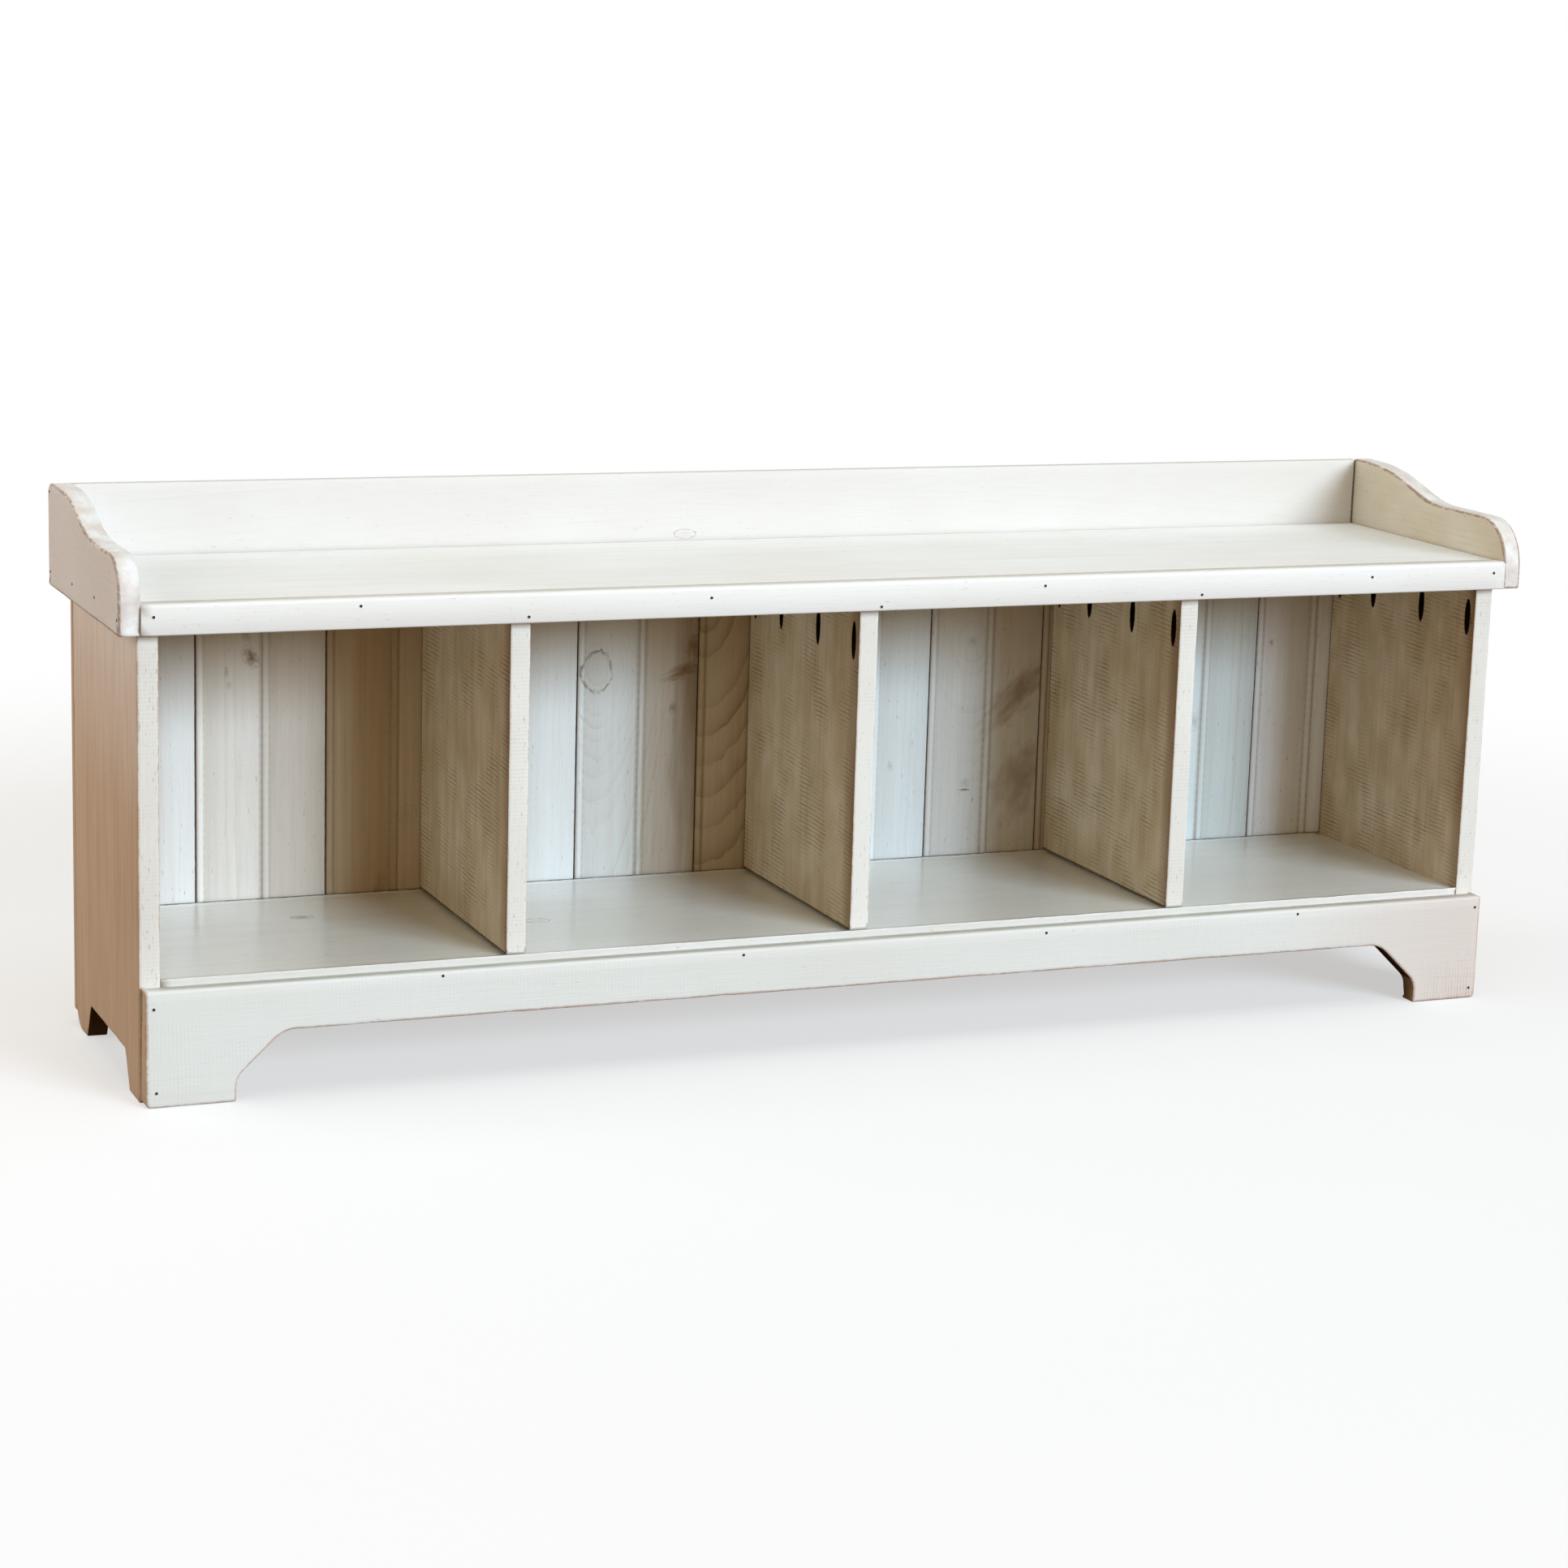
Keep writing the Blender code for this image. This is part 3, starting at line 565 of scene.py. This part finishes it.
# Each plank's paint, its brownness left and right of the middle bead (painted shade where the dividers'
# shadow falls, with the wood's stains), where its rings close, and their look.
# Knots are (along the bench, up, half width, half height, lean, darkness of the outline and of the core).
planks = {
    1: {"paint": "#D8DAD7", "tones": (0.0, 0.0), "heart": (-0.95, 0.30), "ageing": leftTopShade},
    2: {"paint": "#E5E3DC", "tones": (0.0, 0.05), "heart": (-0.5274, 0.3551), "ageing": leftTopShade,
        "ringShow": 0.15, "ringFade": 60,
        "knots": ((-0.5274, 0.3551, 12, 8, 60, 0.2, 0.9), (-0.5330, 0.380, 5, 14, -20, 0, 0.5),
                  (-0.5515, 0.3408, 2.5, 5, 0, 0.4, 0.4), (-0.5491, 0.3280, 2.5, 4, 0, 0.4, 0.3))},
    3: {"paint": "#E4DECE", "tones": (0.85, 0.7), "heart": (-0.369, 0.191), "ringShow": 0.12,
        "ringFade": 60,
        "knots": ((-0.369, 0.191, 10, 9, 0, 0.25, 0.15), (-0.398, 0.10, 9, 40, 4, 0, 0.35))},
    4: {"paint": "#D9DFDE", "tones": (0.0, 0.0), "heart": (-0.60, 0.10)},
    5: {"paint": "#DDE4E3", "tones": (0.0, 0.45), "heart": (-0.1707, 0.330), "ringShow": 0.2,
        "ringStretch": 0.75, "ringFade": 150, "ringWidth": 5.2, "ringSway": 5,
        "knots": ((-0.1715, 0.3265, 16, 21, 0, 0.75, 0.03), (-0.0786, 0.3237, 9, 24, 70, 0, 0.9),
                  (-0.0668, 0.3485, 9, 16, 0, 0, 0.8), (-0.062, 0.28, 34, 220, 0, 0, 0.6),
                  (-0.0883, 0.2863, 5, 6, 0, 0.2, 0.6))},
    6: {"paint": "#DFD8C6", "tones": (0.55, 0.7), "heart": (-0.054, 0.42), "ringShow": 0.7,
        "ringStretch": 0.5, "ringWidth": 11, "ringSway": 7, "ringGate": (0.15, 0.5), "wood": "#8E6F4A",
        "woodLate": "#7A5C3C"},
    7: {"paint": "#D7E1E3", "tones": (0.0, 0.0), "heart": (-0.20, 0.75),
        "knots": ((0.157, 0.2131, 3, 5, 0, 0.3, 0.3),)},
    8: {"paint": "#DAE0E0", "tones": (0.0, 0.3), "heart": (0.2476, 0.3431), "ringShow": 0.13,
        "ringStretch": 0.8, "ringFade": 300, "ringWidth": 8, "ringSway": 9, "ringGate": (0.3, 0.6),
        "knots": ((0.2448, 0.1906, 4.5, 4.5, 0, 0.5, 0.3), (0.2442, 0.1836, 1.6, 8, 90, 0, 1.0),
                  (0.2476, 0.3431, 6, 6, 0, 0.2, 0.3), (0.3025, 0.2845, 20, 56, 45, 0, 0.65),
                  (0.3070, 0.1910, 34, 52, 20, 0, 0.55))},
    9: {"paint": "#D2D0C5", "tones": (0.3, 0.3), "heart": (0.60, 0.40)},
    10: {"paint": "#D1DEE0", "tones": (0.0, 0.0), "heart": (0.5175, 0.2448), "ringShow": 0.2,
         "ringFade": 80,
         "knots": ((0.5175, 0.2448, 7, 10, 0, 0.2, 0.3),)},
    11: {"paint": "#ECF3FA", "tones": (0.0, 0.0), "heart": (0.80, 0.10),
         "knots": ((0.6076, 0.3289, 3, 4, 0, 0.3, 0.6),)},
}


# A tongued plank: its right edge is eased, grime fills its joints, and brown glaze its hollows. Each half is
# browned by its tone: painted shade where the dividers' shadow falls, with the wood's stains.
def dressPlank(number):
    plank = planks[number]
    node = "back_plank_%02d" % number
    low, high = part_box(node)
    isFirst = number == min(planks)
    isLast = number == max(planks)
    start = low.x + (0 if isFirst else plankEdges["tongue"] * mm)
    middle = plankEdges["middle"] * mm + (high.x - plankEdges["pitch"] * mm if isFirst else start)
    shape = openBoard(node)
    skin = merging["weld"] * mm
    corner = [e for e in shape.edges
              if all(v.co.x > high.x - skin and v.co.y < low.y + skin for v in e.verts)]
    bmesh.ops.bevel(shape, geom=corner, offset=plankEdges["ease"] * mm, offset_type='OFFSET', segments=2,
                    profile=0.5, affect='EDGES', material=-1)
    markGrain(shape, "plank", low, plank["heart"])
    wearLayer = shape.verts.layers.float_vector.new("wear")
    stainShadeLayer = shape.verts.layers.float_vector.new("stainShade")
    for vert in shape.verts:
        inJoint = (not isFirst and vert.co.x < start + plankEdges["joint"] * mm
                   or not isLast and vert.co.x > high.x - plankEdges["ease"] * mm * plankEdges["grimed"])
        vert[wearLayer] = (0, float(inJoint), 0)
        hollow = min(1.0, (vert.co.y - low.y) / (plankEdges["beadDepth"] * mm))
        # Each half's tone is painted shade on the halves the dividers shadow, mixed with the wood's stains
        vert[stainShadeLayer] = (plank["tones"][vert.co.x > middle], hollow, 0)
    knots = [((x, plankFront, z), (wide, plankEdges["knotDepth"], tall), lean, ring, core)
             for x, z, wide, tall, lean, ring, core in plank.get("knots", ())]
    changes = {key: value for key, value in plank.items() if key in paintedBoard}
    changes["knots"] = knots
    changes["paintDrift"] = plank["paint"]
    paint = milkPaint("milk_paint_beaded_plank_%02d" % number, **dict(plankPaint, **changes))

    def faceLook(face):
        if isFirst and face.normal.x < -facing or isLast and face.normal.x > facing:
            return endWash
        return rearPine if face.normal.y > facing else paint

    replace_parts(addPiece(shape, node + "_worn", faceLook), node)


for number in planks:
    dressPlank(number)
print("planks dressed")

for k in (1, 2, 3):
    dressBoard("divider_%d" % k, "upright",
               ((front, edgePaint), (right, shadedSideWash), (None, dividerWash)),
               heart=(0.30, 0.2 + 0.1 * k), tight=(up, down, back), tint=nearFront)
dressBoard("left_end_panel", "upright",
           ((front, edgePaint), (left, endWash), (right, shadedSideWash), (None, shadedBareWood)),
           heart=(0.25, 0.6), tight=(up,), tint=nearSeat)
dressBoard("right_end_panel", "upright",
           ((front, edgePaint), (right, endWash), (left, rightWash), (None, shadedBareWood)),
           heart=(0.25, 0.0), tight=(up, back), tint=nearFront)
dressBoard("cubby_floor", "level", ((front, floorEdgePaint), (None, floorPaint)),
           heart=(0.2, 0.3), tight=(back,), closed=(left, right))
dressBoard("base_apron", "rail",
           ((down, shadedBareWood), (left, endWash), (right, endWash), (None, apronPaint)),
           heart=(-0.1, 0.2), closed=(back,), ease=1.7,
           spots=(((0.68, -0.1563, 0.0), 95, 0.62), ((-0.66, -0.1563, 0.0), 60, 0.35)))
dressBoard("seat_board", "level", ((None, seatPaint),),
           heart=(-0.2, 0.1), tight=(left, right, back), closed=(front,))
dressBoard("seat_nosing", "rail", ((None, nosingPaint),),
           heart=(0.3, 0.2), closed=(back, left, right), ease=1.8)
dressBoard("gallery_back", "rail", ((None, galleryPaint),),
           heart=(0.44, -0.0793), tight=(right, down), closed=(left,),
           spots=(((0.575, 0.1448, 0.527), 55, 0.4),))
for side, leftPaint, closed in (("left", galleryEndPaint, (right,)), ("right", galleryInnerPaint, ())):
    dressBoard(side + "_gallery_end", "galleryEnd",
               ((up, galleryTopPaint), (front, galleryTopPaint), (left, leftPaint),
                (None, galleryEndPaint)), heart=(0.3, 0.1), closed=closed, ease=1.8)
print("boards dressed")

ironLook = {  # sizes in millimetres
    "dark": "#1F1B18", "bloom": "#3A281D", "bloomSize": 1.2, "bloomDetail": 3.0, "bloomShow": (0.4, 0.7),
    "roughness": (0.45, 0.8), "metallic": 0.3, "relief": 0.3, "reliefDepth": 0.2,
}


# Iron wire gone to rust: dull and nearly black with a brown bloom, and little metal left bare to shine
def rustyIron():
    material, (add, calc, ramp, blend) = emptyMaterial("dull_iron_fasteners")
    place = add("TexCoord").outputs["Object"]
    bloom = add("TexNoise", {"Vector": place, "Scale": 1 / (ironLook["bloomSize"] * mm),
                             "Detail": ironLook["bloomDetail"]}).outputs["Fac"]
    colour = blend(ramp(bloom, *ironLook["bloomShow"]), ironLook["dark"], ironLook["bloom"])
    rough = ramp(bloom, 0.0, 1.0, *ironLook["roughness"])
    relief = add("Bump", {"Strength": ironLook["relief"], "Distance": ironLook["reliefDepth"] * mm,
                          "Height": bloom})
    shader = add("BsdfPrincipled", {"Base Color": colour, "Roughness": rough, "Normal": relief,
                                    "Metallic": ironLook["metallic"]})
    add("OutputMaterial", {"Surface": shader})
    return material


iron = rustyIron()
brads = {  # millimetres
    "radius": 1.5, "taper": 0.9, "length": 1.0, "rim": 0.35, "proud": 0.4, "dish": 0.25, "sides": 12,
    "nosing": ((-689, 447), (-502, 451), (-344, 436), (-166, 448), (7, 434), (179, 449), (351, 435),
               (544, 447), (687, 447)),  # along and up, on the front of the seat's nosing
    "apron": ((-691, 92), (-689, 14), (-422, 104), (-124, 103), (197, 103), (481, 103.5), (692, 97),
              (691, 11)),
    "galleryEnds": ((148.5, 520), (147.5, 444), (45.5, 447), (-53.5, 450), (-148.5, 444)),  # back and up
}


# A brad's head, driven just short of flush: a small dished disc that faces the way given
def driveBrad(shape, spot, way):
    turn = Vector(way).to_track_quat('Z', 'Y').to_matrix().to_4x4()
    made = bmesh.ops.create_cone(shape, cap_ends=True, segments=brads["sides"],
                                 radius1=brads["radius"] * mm, depth=brads["length"] * mm,
                                 radius2=brads["radius"] * brads["taper"] * mm)
    cap = max({f for v in made["verts"] for f in v.link_faces}, key=lambda f: f.calc_center_median().z)
    bmesh.ops.inset_region(shape, faces=[cap], thickness=brads["rim"] * mm, depth=-brads["dish"] * mm)
    head = {v for f in {f for v in made["verts"] for f in v.link_faces} for v in f.verts} | set(cap.verts)
    sunk = Matrix.Translation((0, 0, (brads["proud"] - brads["length"] / 2) * mm))
    bmesh.ops.transform(shape, verts=list(head), matrix=Matrix.Translation(spot) @ turn @ sunk)


def driveBrads():
    shape = bmesh.new()
    for board, node in (("nosing", "seat_nosing"), ("apron", "base_apron")):
        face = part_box(node)[0].y
        for along, height in brads[board]:
            driveBrad(shape, (along * mm, face, height * mm), front)
    for node, way in (("left_gallery_end", left), ("right_gallery_end", right)):
        low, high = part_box(node)
        for behind, height in brads["galleryEnds"]:
            driveBrad(shape, (low.x if way == left else high.x, behind * mm, height * mm), way)
    addPiece(shape, "brad_nails", lambda face: iron)


pocketScrews = {  # millimetres and degrees
    "mouthHeight": 397.0, "places": (13, 101, 196, 265), "frontFace": -136.5, "tilt": 15, "depth": 30,
    "headRadius": 3.9, "headTaper": 0.8, "headHeight": 2.2, "seatGap": 0.2, "sides": 16,
    "rim": 1.6, "recess": 1.3, "recessDraft": 0.1,
    "reach": 10,  # past any part of a head that is still at the origin
    "uprights": (("left_end_panel", -1), ("right_end_panel", 1), ("divider_2", 1), ("divider_3", 1)),
}


# Pan-headed screws seated on the flat ends of the pocket holes, each with a recess for the driver
def drivePocketScrews():
    shape = bmesh.new()
    radius = pocketScrews["headRadius"]
    for node, inward in pocketScrews["uprights"]:
        low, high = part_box(node)
        face = low.x if inward > 0 else high.x
        tilt = Matrix.Rotation(inward * math.radians(pocketScrews["tilt"]), 4, 'Y')
        seat = (pocketScrews["depth"] - pocketScrews["headHeight"] / 2 - pocketScrews["seatGap"]) * mm
        for place in pocketScrews["places"]:
            behind = (place + pocketScrews["frontFace"]) * mm
            mouth = Vector((face, behind, pocketScrews["mouthHeight"] * mm))
            made = bmesh.ops.create_cone(shape, cap_ends=True, segments=pocketScrews["sides"],
                                         radius1=radius * pocketScrews["headTaper"] * mm,
                                         radius2=radius * mm, depth=pocketScrews["headHeight"] * mm)
            faces = {f for v in made["verts"] for f in v.link_faces}
            cap = min(faces, key=lambda f: f.calc_center_median().z)
            bmesh.ops.inset_region(shape, faces=[cap], thickness=pocketScrews["rim"] * mm)
            bmesh.ops.inset_region(shape, faces=[cap], thickness=pocketScrews["recessDraft"] * mm,
                                   depth=-pocketScrews["recess"] * mm)
            head = [v for v in shape.verts if v.co.length < pocketScrews["reach"] * mm]
            seated = Matrix.Translation(mouth) @ tilt @ Matrix.Translation((0, 0, seat))
            bmesh.ops.transform(shape, verts=head, matrix=seated)
    addPiece(shape, "pocket_screws", lambda face: iron)


driveBrads()
drivePocketScrews()
print("brads and screws driven")

view = {
    "place": (-1.37787, -3.25747, 0.96161),  # metres, in the bench's frame
    "turn": 0.39423,  # radians to the right of straight at the front
    "dip": 0.20378,
    "roll": 0.02994,
    "lens": 83.18,
    "sensor": 36.0,
    "clip": (0.1, 60),
}


def placeCamera():
    ahead = Vector((math.sin(view["turn"]), math.cos(view["turn"]), 0))
    side = Vector((math.cos(view["turn"]), -math.sin(view["turn"]), 0))
    look = ahead * math.cos(view["dip"]) - Vector((0, 0, math.sin(view["dip"])))
    over = Vector((0, 0, math.cos(view["dip"]))) + ahead * math.sin(view["dip"])
    across = side * math.cos(view["roll"]) + over * math.sin(view["roll"])
    top = over * math.cos(view["roll"]) - side * math.sin(view["roll"])
    lens = bpy.data.cameras.new("photo_camera")
    lens.lens = view["lens"]
    lens.sensor_width = view["sensor"]
    lens.clip_start, lens.clip_end = view["clip"]
    camera = bpy.data.objects.new("photo_camera", lens)
    scene.collection.objects.link(camera)
    turned = Matrix((across, top, -look)).transposed().to_4x4()
    camera.matrix_world = Matrix.Translation(view["place"]) @ turned
    scene.camera = camera


placeCamera()
print("camera placed")

lamps = {  # colour, watts, width and height in metres, turn to the right of the front, lift, distance
    "window": ("#DDEEFF", 4850, (9.6, 5.9), 25.6, 16.6, 20.0),
    "ceiling": ("#F0FBFF", 50, (3.0, 3.0), 0, 84, 3.0),
    "leftWall": ("#FFFBF8", 36, (2.2, 2.2), -104, 18, 3.2),
}
room = {
    "aim": (0, 0, 0.25),  # where the lamps point, in metres
    "air": "#FFC56F", "sky": "#7C7661", "airLift": (0.15, 0.7), "level": 0.6,
    "white": "#FFFFFF",  # of the backdrop and the floor as the camera sees them
    "floorHalf": 20, "floorBounce": "#7A6654",
    "shadowReach": (0.9, 2.2), "glow": 0.55,  # metres in which the shadow fades, and the glow under it
}


def hangLamps():
    aim = Vector(room["aim"])
    for name, (colour, watts, size, turn, lift, reach) in lamps.items():
        a, e = math.radians(turn), math.radians(lift)
        away = Vector((math.sin(a) * math.cos(e), -math.cos(a) * math.cos(e), math.sin(e)))
        data = bpy.data.lights.new(name, 'AREA')
        data.shape = 'RECTANGLE'
        data.size, data.size_y = size
        data.energy = watts
        data.color = srgb(colour)[:3]
        lamp = bpy.data.objects.new(name, data)
        scene.collection.objects.link(lamp)
        lamp.location = aim + away * reach
        lamp.rotation_euler = (-away).to_track_quat('-Z', 'Y').to_euler()


# Warm light from the room all round, behind a plain white backdrop
def fillRoom():
    world = bpy.data.worlds.new("room")
    world.use_nodes = True
    scene.world = world
    world.node_tree.nodes.clear()
    add, calc, ramp, blend = nodeTools(world.node_tree)
    path = add("LightPath").outputs
    shown = calc('MAXIMUM', path["Is Camera Ray"], path["Is Glossy Ray"])
    shown = calc('MAXIMUM', shown, path["Is Transmission Ray"])
    lift = add("SeparateXYZ", {0: add("TexCoord").outputs["Generated"]}).outputs["Z"]
    tone = blend(ramp(lift, *room["airLift"]), room["air"], room["sky"])
    air = add("Background", {"Color": tone, "Strength": room["level"]})
    white = add("Background", {"Color": room["white"], "Strength": 1.0})
    both = add("MixShader", {0: shown, 1: air, 2: white})
    add("OutputWorld", {"Surface": both})


# A plain pale floor that keeps the bench's shadow and fades into the backdrop
def layFloor():
    shape = bmesh.new()
    bmesh.ops.create_grid(shape, x_segments=1, y_segments=1, size=room["floorHalf"])
    mesh = bpy.data.meshes.new("floor")
    shape.to_mesh(mesh)
    shape.free()
    floor = bpy.data.objects.new("floor", mesh)
    scene.collection.objects.link(floor)
    material, (add, calc, ramp, blend) = emptyMaterial("pale_studio_floor")
    path = add("LightPath").outputs
    bounce = add("BsdfDiffuse", {"Color": room["floorBounce"]})
    pale = add("BsdfDiffuse", {"Color": room["white"]})
    glow = add("Emission", {"Color": room["white"], "Strength": 1.0})
    away = add("VectorMath", {0: add("TexCoord").outputs["Object"]}, operation='LENGTH').outputs["Value"]
    fade = ramp(away, *room["shadowReach"], low=room["glow"], way='SMOOTHSTEP')
    seen = add("MixShader", {0: fade, 1: pale, 2: glow})
    both = add("MixShader", {0: path["Is Camera Ray"], 1: bounce, 2: seen})
    add("OutputMaterial", {"Surface": both})
    mesh.materials.append(material)


hangLamps()
fillRoom()
layFloor()
print("room lit")
